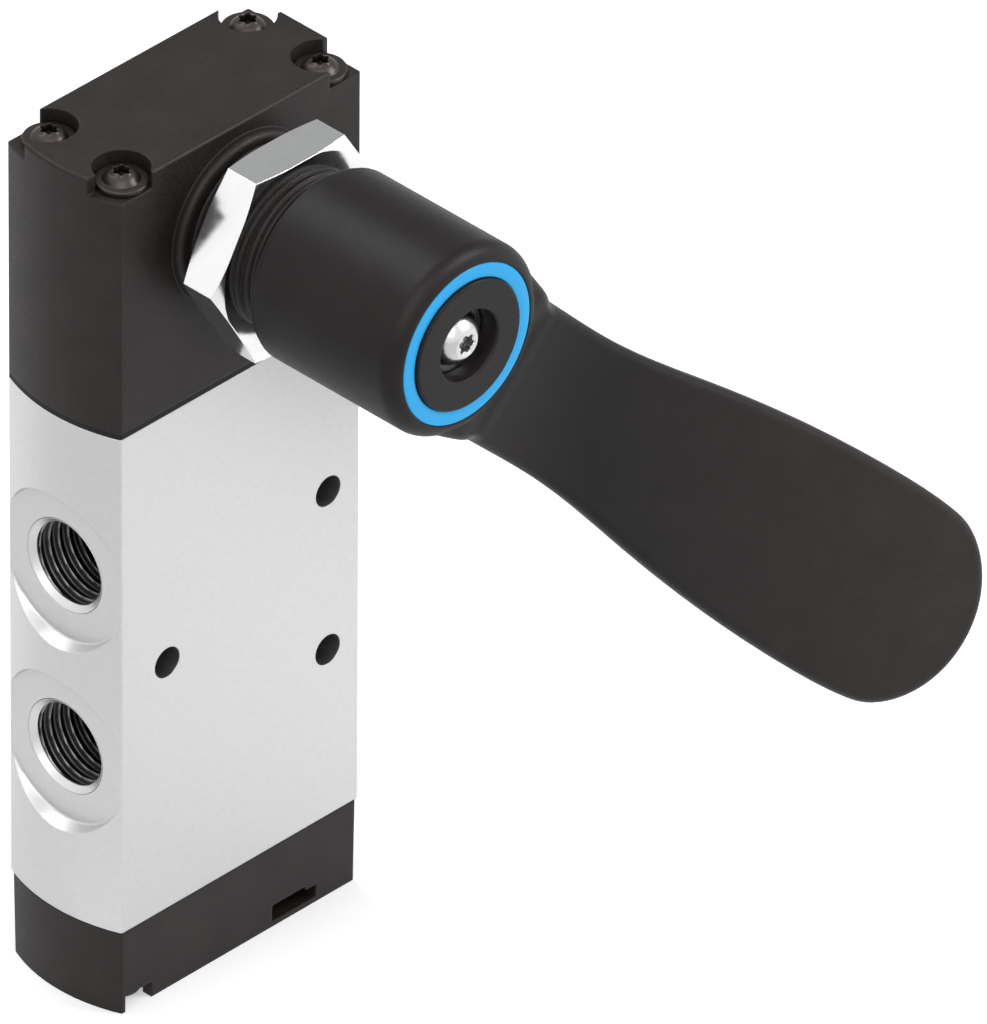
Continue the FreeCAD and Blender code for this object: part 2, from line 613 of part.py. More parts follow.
def spool():
    """Spool: three grooved lands on a waist, and a stem up to the yoke."""
    heights = seal_heights()
    core = rod_z(SPOOL_WAIST_R, SPOOL_FOOT, SPOOL_SHOULDER)
    stem_top = YOKE_Z + YOKE_FOOT_HEIGHT - END_GAP
    parts = [rod_z(STEM_R, SPOOL_SHOULDER, stem_top)]
    for first, last in ((0, 0), (1, 2), (3, 4), (5, 5)):
        parts.append(rod_z(SPOOL_LAND_R, heights[first] - SPOOL_LAND_HALF, heights[last] + SPOOL_LAND_HALF))
    body = core.fuse(parts)
    half = SEAL_SECTION_R + SEAL_SIDE_GAP
    floor_r = seal_mean_r() - SEAL_SECTION_R - RUN
    tools = [rod_z(BORE_R, z - half, z + half).cut(rod_z(floor_r, z - half, z + half)) for z in heights]
    tools.append(yoke_pin_rod(YOKE_PIN_R + FIT, STEM_R))
    return cut_all(body, tools)


def spool_seals():
    """Six ring seals in the spool's grooves."""
    return Part.makeCompound([Part.makeTorus(seal_mean_r(), SEAL_SECTION_R, V(0, 0, z), V(0, 0, 1))
                              for z in seal_heights()])


def yoke_pin_rod(radius, half_length):
    """Rod across the yoke's foot, where its pin goes."""
    z = YOKE_Z + YOKE_FOOT_HEIGHT / 2
    return Part.makeCylinder(radius, 2 * half_length, V(-half_length, 0, z), V(1, 0, 0))


def yoke_pin():
    """Cross pin that holds the yoke on the spool's stem."""
    return yoke_pin_rod(YOKE_PIN_R, YOKE_FOOT_R - YOKE_PIN_SPARE)


def spool_yoke():
    """Yoke: a plate with the crank pin's slot, on a foot bored for the stem."""
    foot_top = YOKE_Z + YOKE_FOOT_HEIGHT
    half = YOKE_WIDTH / 2
    plate = block(-half, half, -YOKE_THICK / 2, YOKE_THICK / 2, foot_top, YOKE_TOP)
    foot = rod_z(YOKE_FOOT_R, YOKE_Z, foot_top)
    reach = CRANK_R + SLOT_END_GAP
    near = CRANK_R * math.cos(math.radians(LEVER_REST_TURN)) - SLOT_END_GAP
    half_slot = CRANK_PIN_R + CRANK_PIN_SLACK
    slot = block(-reach, -near, -YOKE_THICK, YOKE_THICK, YOKE_SLOT_Z - half_slot, YOKE_SLOT_Z + half_slot)
    ends = [rod_y(half_slot, -YOKE_THICK, YOKE_THICK, -x, YOKE_SLOT_Z) for x in (reach, near)]
    corners = [e for e in plate.Edges if e.BoundBox.YLength > YOKE_THICK / 2]
    plate = plate.makeFillet(YOKE_RIM, corners)
    tools = [slot] + ends
    tools.append(rod_z(STEM_R + FIT, YOKE_Z, foot_top))
    tools.append(yoke_pin_rod(YOKE_PIN_R + FIT, YOKE_FOOT_R))
    return cut_all(plate.fuse(foot), tools)


def blade_outline():
    """Plan of the blade, drawn along +X about the axis: root in the hub, waist, belly, round tip."""
    turn = math.radians(TIP_HALF_ANGLE)
    half_turn = turn / 2
    centre = TIP_AT - TIP_R
    side = [(0, ROOT_HALF), (JOINT_AT, HUB_R - JOINT_INSET), (BLEND_AT, WAIST_HALF + BLEND_WIDER),
            (WAIST_FROM, WAIST_HALF), (WAIST_TO, WAIST_HALF), (FLARE_AT, FLARE_HALF),
            (BELLY_AT, BELLY_HALF), (SHOULDER_AT, SHOULDER_HALF),
            (centre + TIP_R * math.cos(turn), TIP_R * math.sin(turn))]
    points = [V(x, 0, AXIS_Z + w) for x, w in side]
    flank = Part.BSplineCurve()
    flank.interpolate(Points=points, InitialTangent=V(1, 0, 0),
                      FinalTangent=V(math.sin(turn), 0, -math.cos(turn)))
    middle = V(centre + TIP_R * math.cos(half_turn), 0, AXIS_Z + TIP_R * math.sin(half_turn))
    tip = Part.Arc(points[-1], middle, V(TIP_AT, 0, AXIS_Z))
    upper = [flank.toShape(), tip.toShape()]
    lower = [edge.mirror(V(0, 0, AXIS_Z), V(0, 0, 1)) for edge in upper]
    root = Part.LineSegment(V(0, 0, AXIS_Z + ROOT_HALF), V(0, 0, AXIS_Z - ROOT_HALF))
    return Part.Wire(Part.__sortEdges__(upper + lower + [root.toShape()]))


def blade_side():
    """Side view of the blade: almost flush with the hub's face, a dip, then the sweep to the tip."""
    mid = HUB_FACE + BLADE_BEHIND_FACE
    front = mid - BLADE_THICK / 2
    back = mid + BLADE_THICK / 2
    bend_end = SWEEP_FROM + SWEEP_BEND
    rise_end = SWEEP_SLOPE * SWEEP_BEND
    reach = TIP_AT + BLADE_THICK
    rise_tip = SWEEP_SLOPE * (reach - SWEEP_FROM)
    flat = SWEEP_FROM - SWEEP_BEND

    def curve(points, start, end):
        line = Part.BSplineCurve()
        line.interpolate(Points=[V(x, y, 0) for x, y in points], InitialTangent=start, FinalTangent=end)
        return line.toShape()

    level = V(1, 0, 0)
    sweep = V(1, -SWEEP_SLOPE, 0)
    root_front = HUB_FACE + ROOT_BELOW_FACE
    front_root = curve([(RING_R_IN, root_front), (flat, front)], level, level)
    front_bend = curve([(flat, front), (bend_end, front - rise_end)], level, sweep)
    back_bend = curve([(flat, back), (bend_end, back - rise_end)], level, sweep)
    back_root = curve([(0, back + ROOT_BACK_RISE), (JOINT_AT, back + JOINT_BACK_RISE),
                       (BLEND_AT, back + BLEND_BACK_RISE), (flat, back)], level, level)
    ends = [
        Part.makePolygon([V(bend_end, front - rise_end, 0), V(reach, front - rise_tip, 0),
                          V(reach, back - rise_tip, 0), V(bend_end, back - rise_end, 0)]),
        Part.makePolygon([V(0, back + ROOT_BACK_RISE, 0), V(0, root_front, 0), V(RING_R_IN, root_front, 0)]),
    ]
    edges = [front_root, front_bend] + ends[0].Edges + [back_bend, back_root] + ends[1].Edges
    return Part.Wire(Part.__sortEdges__(edges))


def lever_blade():
    """Blade alone: its plan and its side view crossed, edges rounded all the way round the tip."""
    side = Part.Face(blade_side())
    side.translate(V(0, 0, AXIS_Z - BELLY_HALF - BLADE_THICK))
    plan = Part.Face(blade_outline())
    plan.translate(V(0, HUB_BACK, 0))
    depth = HUB_LENGTH + TIP_AT * SWEEP_SLOPE
    blade = plan.extrude(V(0, -depth, 0)).common(side.extrude(V(0, 0, 2 * (BELLY_HALF + BLADE_THICK))))
    rims = [e for e in blade.Edges if e.BoundBox.XLength > BLADE_THICK]
    return blade.makeFillet(BLADE_EDGE_ROUND, rims)


def lever():
    """Moulded lever: hub over the neck's end, blade swept outwards, in one piece."""
    rim_r = HUB_R - HUB_RIM_STEP
    hub = turned_y([(0, HUB_BACK), (rim_r, HUB_BACK), (rim_r, HUB_BACK - HUB_RIM_LENGTH),
                    (HUB_R, HUB_BACK - HUB_RIM_LENGTH), (HUB_R, HUB_FACE), (0, HUB_FACE)])
    face_rim = [e for e in hub.Edges if e.BoundBox.YMax < HUB_FACE + HUB_RIM_STEP]
    hub = hub.makeFillet(HUB_FRONT_ROUND, face_rim)
    shell = hub.fuse([lever_blade(), rod_y(RING_R_IN - FIT, CENTRE_FACE, HUB_FACE + RING_DEPTH)])
    tools = [rod_y(HUB_RECESS_R, CENTRE_FACE, INSERT_FRONT),
             rod_y(INSERT_R + FIT, INSERT_FRONT, HUB_BACK),
             rod_y(CLIP_ROOM_R, INSERT_BACK, HUB_BACK),
             rod_y(RING_R_OUT + FIT, HUB_FACE, HUB_FACE + RING_DEPTH).cut(
                 rod_y(RING_R_IN - FIT, HUB_FACE, HUB_FACE + RING_DEPTH))]
    shell = cut_all(shell, tools)
    face_edges = [e for e in shell.Edges if e.BoundBox.YMax < CENTRE_FACE + FIT]
    shell = shell.makeFillet(HUB_RECESS_ROUND, face_edges)
    shell.rotate(V(0, 0, AXIS_Z), V(0, 1, 0), LEVER_REST_TURN)
    return shell


def hub_ring():
    """Coloured ring set flush in the hub's face."""
    depth = HUB_FACE + RING_DEPTH - FIT
    return rod_y(RING_R_OUT, HUB_FACE, depth).cut(rod_y(RING_R_IN, HUB_FACE, depth))


def hub_insert():
    """Metal core moulded in the hub: round mouth, flats that drive the shaft, face for the screw."""
    core = rod_y(INSERT_R, INSERT_FRONT, INSERT_BACK)
    flats_from = SHAFT_END + DRIVE_LENGTH - SIDE_GAP
    drive = rod_y(SHAFT_R + FIT, SHAFT_END - END_GAP, flats_from)
    flat_z = DRIVE_FLAT_HALF + FIT
    sides = [block(-SHAFT_R, SHAFT_R, SHAFT_END - END_GAP, flats_from, AXIS_Z + low, AXIS_Z + high)
             for low, high in ((flat_z, 2 * SHAFT_R), (-2 * SHAFT_R, -flat_z))]
    drive = cut_all(drive, sides)
    drive.rotate(V(0, 0, AXIS_Z), V(0, 1, 0), LEVER_REST_TURN)
    tools = [drive, rod_y(SHAFT_R + FIT, flats_from, INSERT_BACK),
             rod_y(HUB_SCREW_R + SCREW_GAP, INSERT_FRONT, SHAFT_END)]
    return cut_all(core, tools)


def hub_washer():
    """Washer under the hub screw's head."""
    disc = rod_y(HUB_RECESS_R - END_GAP, WASHER_FRONT, INSERT_FRONT)
    return disc.cut(rod_y(HUB_SCREW_R + SCREW_GAP, WASHER_FRONT, INSERT_FRONT))


def hub_screw():
    """Button head screw through washer and insert into the shaft's end."""
    crown = WASHER_FRONT - HUB_HEAD_HEIGHT
    rise = (HUB_HEAD_R ** 2 - HUB_HEAD_CROWN_R ** 2 - HUB_HEAD_HEIGHT ** 2) / (2 * HUB_HEAD_HEIGHT)
    ball_r = math.hypot(HUB_HEAD_R, rise)
    ball = Part.makeSphere(ball_r, V(0, WASHER_FRONT + rise, AXIS_Z))
    head = ball.common(rod_y(HUB_HEAD_R, crown, WASHER_FRONT))
    shank = rod_y(HUB_SCREW_R, WASHER_FRONT, WASHER_FRONT + HUB_SCREW_LENGTH)
    socket = rod_y(HUB_SOCKET_R, crown, crown + HUB_SOCKET_DEPTH)
    return head.fuse(shank).cut(socket)


NODES = [base_cover, base_seal, base_screws, lower_buffer, valve_body, housing_seal,
         actuator_housing, housing_screws, panel_nut, front_bush, rear_bush, guide_ring,
         detent_spring, lever_shaft, shaft_seal, shaft_clip, crank_pin, lever, hub_ring,
         hub_insert, hub_washer, hub_screw, spool, spool_seals, spool_yoke, yoke_pin]

os.makedirs("parts", exist_ok=True)
for make in NODES:
    shape = make()
    shape.exportStep("parts/" + make.__name__ + ".step")
    print(make.__name__, len(shape.Solids), round(shape.Volume, 2), shape.isValid())
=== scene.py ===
import json
import math

import bmesh
import bpy
import numpy as np
from mathutils import Matrix, Vector


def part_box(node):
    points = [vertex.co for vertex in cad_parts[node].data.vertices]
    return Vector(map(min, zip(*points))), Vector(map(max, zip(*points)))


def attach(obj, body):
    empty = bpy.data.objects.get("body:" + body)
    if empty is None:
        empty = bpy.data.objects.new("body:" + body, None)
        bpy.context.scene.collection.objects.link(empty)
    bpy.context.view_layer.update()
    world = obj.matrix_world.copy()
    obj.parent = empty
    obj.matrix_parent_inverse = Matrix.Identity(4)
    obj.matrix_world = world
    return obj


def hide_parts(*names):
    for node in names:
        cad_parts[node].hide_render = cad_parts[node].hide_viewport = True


# Hand lever air valve: a slim aluminium spool valve with a moulded housing, whose lever turns on a
# threaded neck. Metres, +Z up, +X to the three port end, -Y to the lever.
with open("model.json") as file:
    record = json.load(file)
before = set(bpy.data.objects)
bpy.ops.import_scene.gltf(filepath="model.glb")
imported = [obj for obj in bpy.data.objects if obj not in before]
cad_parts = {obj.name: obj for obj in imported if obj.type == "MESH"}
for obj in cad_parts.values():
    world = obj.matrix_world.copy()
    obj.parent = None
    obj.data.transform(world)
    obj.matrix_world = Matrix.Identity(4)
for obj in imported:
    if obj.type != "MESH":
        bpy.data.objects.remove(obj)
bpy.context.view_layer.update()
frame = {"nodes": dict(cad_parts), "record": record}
nodes = frame["nodes"]
MM = 0.001

# Camera. A long lens from 45 degrees to the left and 35 degrees above, fitted to the photograph's
# edges; it looks at the middle of the valve from almost four metres away.
view_turn, view_rise, view_roll = (math.radians(v) for v in (-45.4608, 34.9752, -0.4136))
view_distance = 3.6892763
view_aim = Vector((0, 0, 0.0526))
view_shift = (0.0388801, 0.0080341)
focal_pixels = 29292.19
frame_height_pixels = 1024

back = Vector((math.sin(view_turn) * math.cos(view_rise), -math.cos(view_turn) * math.cos(view_rise),
               math.sin(view_rise)))
level = Vector((math.cos(view_turn), math.sin(view_turn), 0))
upright = back.cross(level)
right = level * math.cos(view_roll) - upright * math.sin(view_roll)
up = level * math.sin(view_roll) + upright * math.cos(view_roll)
eye = view_aim + back * view_distance + right * view_shift[0] + up * view_shift[1]

camera_data = bpy.data.cameras.new("camera")
camera_data.sensor_fit = "VERTICAL"
camera_data.sensor_height = 36
camera_data.lens = focal_pixels / frame_height_pixels * camera_data.sensor_height
camera_data.clip_end = 20
camera = bpy.data.objects.new("camera", camera_data)
camera.matrix_world = Matrix((
    (right.x, up.x, back.x, eye.x),
    (right.y, up.y, back.y, eye.y),
    (right.z, up.z, back.z, eye.z),
    (0, 0, 0, 1)))
bpy.context.scene.collection.objects.link(camera)
bpy.context.scene.camera = camera
bpy.context.scene.view_settings.view_transform = "Standard"


# Floor. A white table that goes on past the picture; the camera and the bright metal see it lit up
# to white, and it keeps the valve's soft shadow. To the left it is darker in the metal's mirror.
def linear(code):
    """Linear colour of an sRGB hex code."""
    values = [int(code[k:k + 2], 16) / 255 for k in (0, 2, 4)]
    return [v / 12.92 if v <= 0.04045 else ((v + 0.055) / 1.055) ** 2.4 for v in values] + [1.0]


def add(tree, kind, values=None, links=None, **settings):
    """One node: settings are its properties, values its sockets' constants, links what feeds its sockets."""
    node = tree.nodes.new("ShaderNode" + kind)
    for key, value in settings.items():
        setattr(node, key, value)
    for key, value in (values or {}).items():
        node.inputs[key].default_value = value
    for key, socket in (links or {}).items():
        tree.links.new(socket, node.inputs[key])
    return node


def ramp(tree, source, stops):
    """Colour ramp fed by source, through stops of position and hex colour."""
    node = add(tree, "ValToRGB", links={"Fac": source})
    while len(node.color_ramp.elements) < len(stops):
        node.color_ramp.elements.new(1.0)
    for element, (place, code) in zip(node.color_ramp.elements, stops):
        element.position = place
        element.color = linear(code)
    return node.outputs["Color"]


def seen_white(tree):
    """1 for rays of the camera and of mirrors, 0 for rays that gather light."""
    path = add(tree, "LightPath").outputs
    seen = add(tree, "Math", links={0: path["Is Camera Ray"], 1: path["Is Glossy Ray"]}, operation="MAXIMUM")
    return add(tree, "Math", links={0: seen.outputs[0], 1: path["Is Transmission Ray"]},
               operation="MAXIMUM").outputs[0]


def new_material(name):
    """Empty material and its node tree, with an output."""
    material = bpy.data.materials.new(name)
    material.use_nodes = True
    material.node_tree.nodes.clear()
    output = add(material.node_tree, "OutputMaterial")
    return material, material.node_tree, output.inputs["Surface"]


def dress(piece, material):
    """The piece takes this material in every slot."""
    if not piece.data.materials:
        piece.data.materials.append(material)
    for slot in piece.material_slots:
        slot.material = material


floor_half = 3.0
floor_glow = 0.4
# In the metal's mirror: brightest up to the valve's middle, darkest from shade_reach on its left.
mirrored_bright, mirrored_dark = 0.78, 0.56
shade_towards = (-0.9, -0.43, 0)
shade_reach = 100 * MM
floor_corners = [(sx * floor_half, sy * floor_half, 0) for sx, sy in ((-1, -1), (1, -1), (1, 1), (-1, 1))]

floor_mesh = bpy.data.meshes.new("floor")
floor_mesh.from_pydata(floor_corners, [], [(0, 1, 2, 3)])
floor = bpy.data.objects.new("floor", floor_mesh)
bpy.context.scene.collection.objects.link(floor)

paper, tree, surface_in = new_material("white_table")
lit = add(tree, "BsdfDiffuse", values={"Color": linear("E2E2E2")}).outputs[0]
place = add(tree, "TexCoord").outputs["Object"]
aside = add(tree, "VectorMath", values={1: shade_towards}, links={0: place},
            operation="DOT_PRODUCT").outputs["Value"]
shade = add(tree, "MapRange", links={"Value": aside},
            values={"From Max": shade_reach, "To Min": mirrored_bright, "To Max": mirrored_dark}).outputs[0]
camera_ray = add(tree, "LightPath").outputs["Is Camera Ray"]
shade = add(tree, "Math", links={0: shade, 1: camera_ray}, operation="MAXIMUM").outputs[0]
white = add(tree, "BsdfDiffuse", links={"Color": shade}).outputs[0]
glow = add(tree, "Emission", values={"Strength": floor_glow}, links={"Color": shade}).outputs[0]
bright = add(tree, "AddShader", links={0: white, 1: glow}).outputs[0]
table = add(tree, "MixShader", links={0: seen_white(tree), 1: lit, 2: bright}).outputs[0]
tree.links.new(table, surface_in)
dress(floor, paper)

# Light. A white room whose far upper part is a darker ceiling, seen only in the bright metal, and
# three soft lamps: the key from the right in front, a fill from the left, one from above and behind.
dark_ceiling = (0.58, 0.57, 0.57)
room_light = 0.3
valve_middle = (0, 0, 60 * MM)
# Name, place, width and power of each lamp.
lamps = (("key_lamp", (1.0, -1.0, 1.05), 0.7, 12),
         ("fill_lamp", (-0.75, -0.75, 1.2), 1.3, 8),
         ("top_lamp", (0.0, 0.8, 1.35), 0.8, 6.5))

world = bpy.data.worlds.new("studio")
world.use_nodes = True
tree = world.node_tree
tree.nodes.clear()
direction = add(tree, "TexCoord").outputs["Generated"]
towards = add(tree, "VectorMath", values={1: dark_ceiling}, links={0: direction}, operation="DOT_PRODUCT")
sky = ramp(tree, towards.outputs["Value"], [(0.35, "FFFFFF"), (0.8, "D0D0D0"), (1.0, "A3A4A5")])
light = add(tree, "Background", values={"Color": linear("FFFFFF"), "Strength": room_light}).outputs[0]
room = add(tree, "Background", values={"Strength": 1.0}, links={"Color": sky}).outputs[0]
both = add(tree, "MixShader", links={0: seen_white(tree), 1: light, 2: room}).outputs[0]
add(tree, "OutputWorld", links={"Surface": both})
bpy.context.scene.world = world

for name, stand, width, power in lamps:
    lamp = bpy.data.lights.new(name, "AREA")
    lamp.size = width
    lamp.energy = power
    lamp_object = bpy.data.objects.new(name, lamp)
    lamp_object.location = stand
    lamp_object.rotation_euler = (Vector(valve_middle) - Vector(stand)).to_track_quat("-Z", "Y").to_euler()
    bpy.context.scene.collection.objects.link(lamp_object)


# Valve body. Extruded aluminium, machined, then ground in a tub to an even satin; five ports, three
# cross holes. It comes from CAD.
grain_share = 0.6
hole_probe = 10 * MM


def finish(name, colours, roughness, grain, depth, edge, cloud=6 * MM, stretch=(1, 1, 1), hole=None,
           **shader):
    """Procedural finish in real sizes: grain and cloud are pattern sizes, depth the grain's height and
    edge the rounding that the light finds on every edge, all in metres. The colour wanders between
    two hex colours, by grain_share with the grain and else in clouds, the roughness between two
    values in the grain; hole is the hex colour of painted shade that the finish goes to deep in a
    hole, where the surroundings close in, and the share of open surroundings from which no shade is
    painted."""
    material, tree, surface_in = new_material(name)
    place = add(tree, "TexCoord").outputs["Object"]
    place = add(tree, "Mapping", values={"Scale": stretch}, links={"Vector": place}).outputs[0]
    # A noise's scale is cells per metre, so its cells are as wide as the size that divides 1.
    fine = add(tree, "TexNoise", values={"Scale": 1 / grain, "Detail": 3.0, "Roughness": 0.6},
               links={"Vector": place}).outputs["Fac"]
    wide = add(tree, "TexNoise", values={"Scale": 1 / cloud, "Detail": 2.0},
               links={"Vector": place}).outputs["Fac"]
    spread = add(tree, "Math", values={1: grain_share}, links={0: fine}, operation="MULTIPLY").outputs[0]
    spread = add(tree, "Math", values={1: 1 - grain_share}, links={0: wide, 2: spread},
                 operation="MULTIPLY_ADD").outputs[0]
    colour = ramp(tree, spread, [(0.38, colours[0]), (0.62, colours[1])])
    # Painted shade: where little of the surroundings is open, the colour goes to the hole's dark hex colour.
    if hole:
        open_sky = add(tree, "AmbientOcclusion", values={"Distance": hole_probe}, samples=8).outputs["AO"]
        unshaded_share = add(tree, "MapRange", values={"From Min": 0.1, "From Max": hole[1]},
                    links={"Value": open_sky}).outputs[0]
        mixed = add(tree, "Mix", values={6: linear(hole[0])}, links={0: unshaded_share, 7: colour}, data_type="RGBA")
        colour = mixed.outputs[2]
    rough = add(tree, "MapRange", values={"From Min": 0.3, "From Max": 0.7, "To Min": roughness[0],
                                          "To Max": roughness[1]}, links={"Value": fine}).outputs[0]
    rounded = add(tree, "Bevel", values={"Radius": edge}, samples=8).outputs[0]
    bump = add(tree, "Bump", values={"Strength": 1.0, "Distance": depth},
               links={"Height": fine, "Normal": rounded}).outputs[0]
    values = {"IOR": 1.5} | shader
    shader_node = add(tree, "BsdfPrincipled", values=values,
                      links={"Base Color": colour, "Roughness": rough, "Normal": bump})
    tree.links.new(shader_node.outputs[0], surface_in)
    return material


# Painted shade: the aluminium darkens in its ports, spot faces and cross holes, where the surroundings close
# in.
aluminium = finish("ground_satin_aluminium", ("DEDEDE", "E3E3E3"), (0.36, 0.46), 0.3 * MM, 0.008 * MM,
                   0.22 * MM, cloud=0.9 * MM, hole=("9C9C9C", 0.9), Metallic=1.0)
dress(nodes["valve_body"], aluminium)


# Port threads. Pipe threads cut in the five ports, a countersink at the mouth and then rounded
# crests; each is a sleeve that lines its bore.
def skin(name, groups, material, body, loop=False, crease=40):
    """Closed mesh over groups of rings: each ring's points go round, ring joins ring, and at the ends
    the last ring joins the first in a loop, or each end ring is filled flat."""
    mesh = bmesh.new()
    for rings in groups:
        rows = [[mesh.verts.new(point) for point in ring] for ring in rings]
        pairs = list(zip(rows, rows[1:] + rows[:1])) if loop else list(zip(rows, rows[1:]))
        for lower, upper in pairs:
            for k in range(len(lower)):
                mesh.faces.new((lower[k - 1], lower[k], upper[k], upper[k - 1]))
        if not loop:
            mesh.faces.new(rows[0])
            mesh.faces.new(rows[-1])
    bmesh.ops.recalc_face_normals(mesh, faces=mesh.faces)
    data = bpy.data.meshes.new(name)
    mesh.to_mesh(data)
    mesh.free()
    data.shade_smooth()
    data.set_sharp_from_angle(angle=math.radians(crease))
    piece = bpy.data.objects.new(name, data)
    bpy.context.scene.collection.objects.link(piece)
    dress(piece, material)
    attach(piece, body)
    return piece


def rings_along(centre, along, radii, heights):
    """Rings about an axis: row i holds the points at radii[i, k] from the axis and heights[i] along it,
    evenly spread round the full turn."""
    along = Vector(along).normalized()
    across = along.orthogonal().normalized()
    turn = np.linspace(0, 2 * np.pi, radii.shape[1], endpoint=False)
    outward = np.outer(np.cos(turn), across) + np.outer(np.sin(turn), along.cross(across))
    return np.array(centre) + radii[:, :, None] * outward[None] + np.outer(heights, along)[:, None, :]


def thread(heights, columns, pitch, root_r, crest_r, crest_width):
    """Radii of a thread's grid: a cosine wave that climbs one pitch a turn, raised to a power so that
    the crests take crest_width of the pitch and the roots the rest."""
    turns = heights[:, None] / pitch - np.arange(columns)[None] / columns
    power = math.log(0.5) / math.log(0.5 + 0.5 * math.cos(math.pi * crest_width))
    return root_r + (crest_r - root_r) * (0.5 + 0.5 * np.cos(2 * np.pi * turns)) ** power


# A pipe thread of this size has a pitch of 1.337 mm; the photograph's is drawn, which is coarser.
port_pitch = 1.66 * MM
port_crest_r = 5.72 * MM
port_wall = 0.02 * MM
thread_start = 0.35 * MM
port_crest_share = 0.24
port_dark_from = 8.4 * MM
port_dusk = 1.4 * MM
# Painted shade in the threads: how open the metal lies in a root, and how much more on a crest; the mouth is
# 1, the dark end 0.
root_open, crest_open = 0.15, 0.35
port_columns = 96
rows_per_pitch = 16
cut_thread = finish("cut_aluminium_thread", ("D4D4D4", "E0E0E0"), (0.3, 0.4), 0.2 * MM, 0.004 * MM, 0.1 * MM,
                    Metallic=1.0)
# The sleeves' attribute "open" is painted shade: it darkens the colour from the mouth to the crests, roots
# and dark end.
tree = cut_thread.node_tree
lies_open = add(tree, "Attribute", attribute_name="open").outputs["Fac"]
painted_shade_tones = [(0.0, "080808"), (root_open, "4A4A4A"), (root_open + crest_open, "989898"), (0.95, "E4E4E4")]
tree.links.new(ramp(tree, lies_open, painted_shade_tones), tree.nodes["Principled BSDF"].inputs["Base Color"])

for mount in frame["record"]["mounts"]:
    if mount["kind"] != "threaded_hole":
        continue
    inwards = -Vector(mount["axis"])
    length = mount["dims"]["length_mm"] * MM
    wall_r = mount["dims"]["r_mm"] * MM - port_wall
    mouth = Vector(mount["pos_m"]) - inwards * length / 2
    deep = np.linspace(0, length, int(length / port_pitch * rows_per_pitch))
    bore = thread(deep, port_columns, port_pitch, wall_r - port_wall, port_crest_r, port_crest_share)
    grooved = np.clip((deep - (wall_r - port_crest_r)) / thread_start, 0, 1)[:, None]
    bore = port_crest_r + (bore - port_crest_r) * grooved
    countersink = (wall_r - deep)[:, None]
    inner = rings_along(mouth, inwards, np.maximum(bore, countersink), deep)
    outer = rings_along(mouth, inwards, np.full((2, port_columns), wall_r + port_wall / 2), [length, 0])
    sleeve = skin(mount["name"] + "_thread", [np.concatenate([inner, outer])], cut_thread, "valve",
                  loop=True, crease=60)
    places = np.array([point.co for point in sleeve.data.vertices]) - np.array(mouth)
    depths = places @ np.array(inwards)
    reaches = np.linalg.norm(places - np.outer(depths, inwards), axis=1)
    crests = np.clip((wall_r - reaches) / (wall_r - port_crest_r), 0, 1)
    # Painted shade: darker deep in the bore and in the roots than on the crests and at the mouth.
    daylight = np.clip((port_dark_from - depths) / port_dusk, 0, 1)
    painted_light_share = np.where(depths < wall_r - port_crest_r, 1.0, daylight * (root_open + crest_open * crests))
    sleeve.data.attributes.new("open", "FLOAT", "POINT").data.foreach_set("value", painted_light_share)

# Housing. Glass filled nylon, moulded with a fine grain, with the pad and the neck in one piece; four
# screw pockets on top. It comes from CAD.
moulded = finish("grained_black_nylon", ("1F1B19", "2C2826"), (0.4, 0.56), 0.28 * MM, 0.035 * MM, 0.4 * MM,
                 **{"Specular IOR Level": 0.33})
dress(nodes["actuator_housing"], moulded)

# Neck thread. M22x1, moulded on the neck and open to view on both sides of the nut; two sleeves
# over the plain core.
neck_pitch = 1.0 * MM
neck_crest_r = 11.0 * MM
neck_core_r = 10.52 * MM
neck_columns = 128
lead_in = 0.25 * MM
neck_gap = 0.03 * MM
neck_end_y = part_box("actuator_housing")[0][1]
nut_low, nut_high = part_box("panel_nut")
pad_y = -11.5 * MM
axis_z = (nut_low[2] + nut_high[2]) / 2

for name, near, far in (("neck_thread_behind_nut", nut_high[1], pad_y),
                        ("neck_thread_before_nut", neck_end_y, nut_low[1])):
    length = far - near - 2 * neck_gap
    start = (0, near + neck_gap, axis_z)
    along_neck = np.linspace(0, length, int(length / neck_pitch * rows_per_pitch))
    crests = thread(along_neck, neck_columns, neck_pitch, neck_core_r + lead_in / 4, neck_crest_r, 0.5)
    chamfer = (neck_core_r + lead_in / 4 + np.minimum(along_neck, length - along_neck))[:, None]
    outer = rings_along(start, (0, 1, 0), np.minimum(crests, chamfer), along_neck)
    inner = rings_along(start, (0, 1, 0), np.full((2, neck_columns), neck_core_r), [length, 0])
    skin(name, [np.concatenate([outer, inner])], moulded, "valve", loop=True, crease=70)

# Base cover. The same nylon, moulded with draft; vent slot and screw pockets. It comes from CAD.
dress(nodes["base_cover"], moulded)

# Seals. Black nitrile rubber, cut or moulded, smooth and a little dusty; they come from CAD.
rubber = finish("black_nitrile_rubber", ("161616", "1D1D1C"), (0.55, 0.7), 0.15 * MM, 0.004 * MM, 0.08 * MM,
                **{"Specular IOR Level": 0.3})
for name in ("base_seal", "housing_seal", "lower_buffer", "shaft_seal", "spool_seals"):
    dress(nodes[name], rubber)


# Corner screws. Blackened steel M3 screws with a flange, a domed head and a six lobed socket, four
# long ones through the housing and four short ones through the base.
def turned(centre, along, profile, columns):
    """Rings of a turned form from a profile of radius, height and lobe, all in millimetres: a point's
    radius is the row's radius plus its lobe times the cosine of six turns."""
    radius, height, lobe = (np.array(column) * MM for column in zip(*profile))
    six = np.cos(6 * np.linspace(0, 2 * np.pi, columns, endpoint=False))
    return rings_along(centre, along, radius[:, None] + lobe[:, None] * six[None], height)


def arc(centre_r, centre_h, radius, start, end, steps):
    """Profile points on an arc, angles in degrees from outwards to upwards."""
    angles = np.radians(np.linspace(start, end, steps))
    return [(centre_r + radius * math.cos(a), centre_h + radius * math.sin(a), 0) for a in angles]


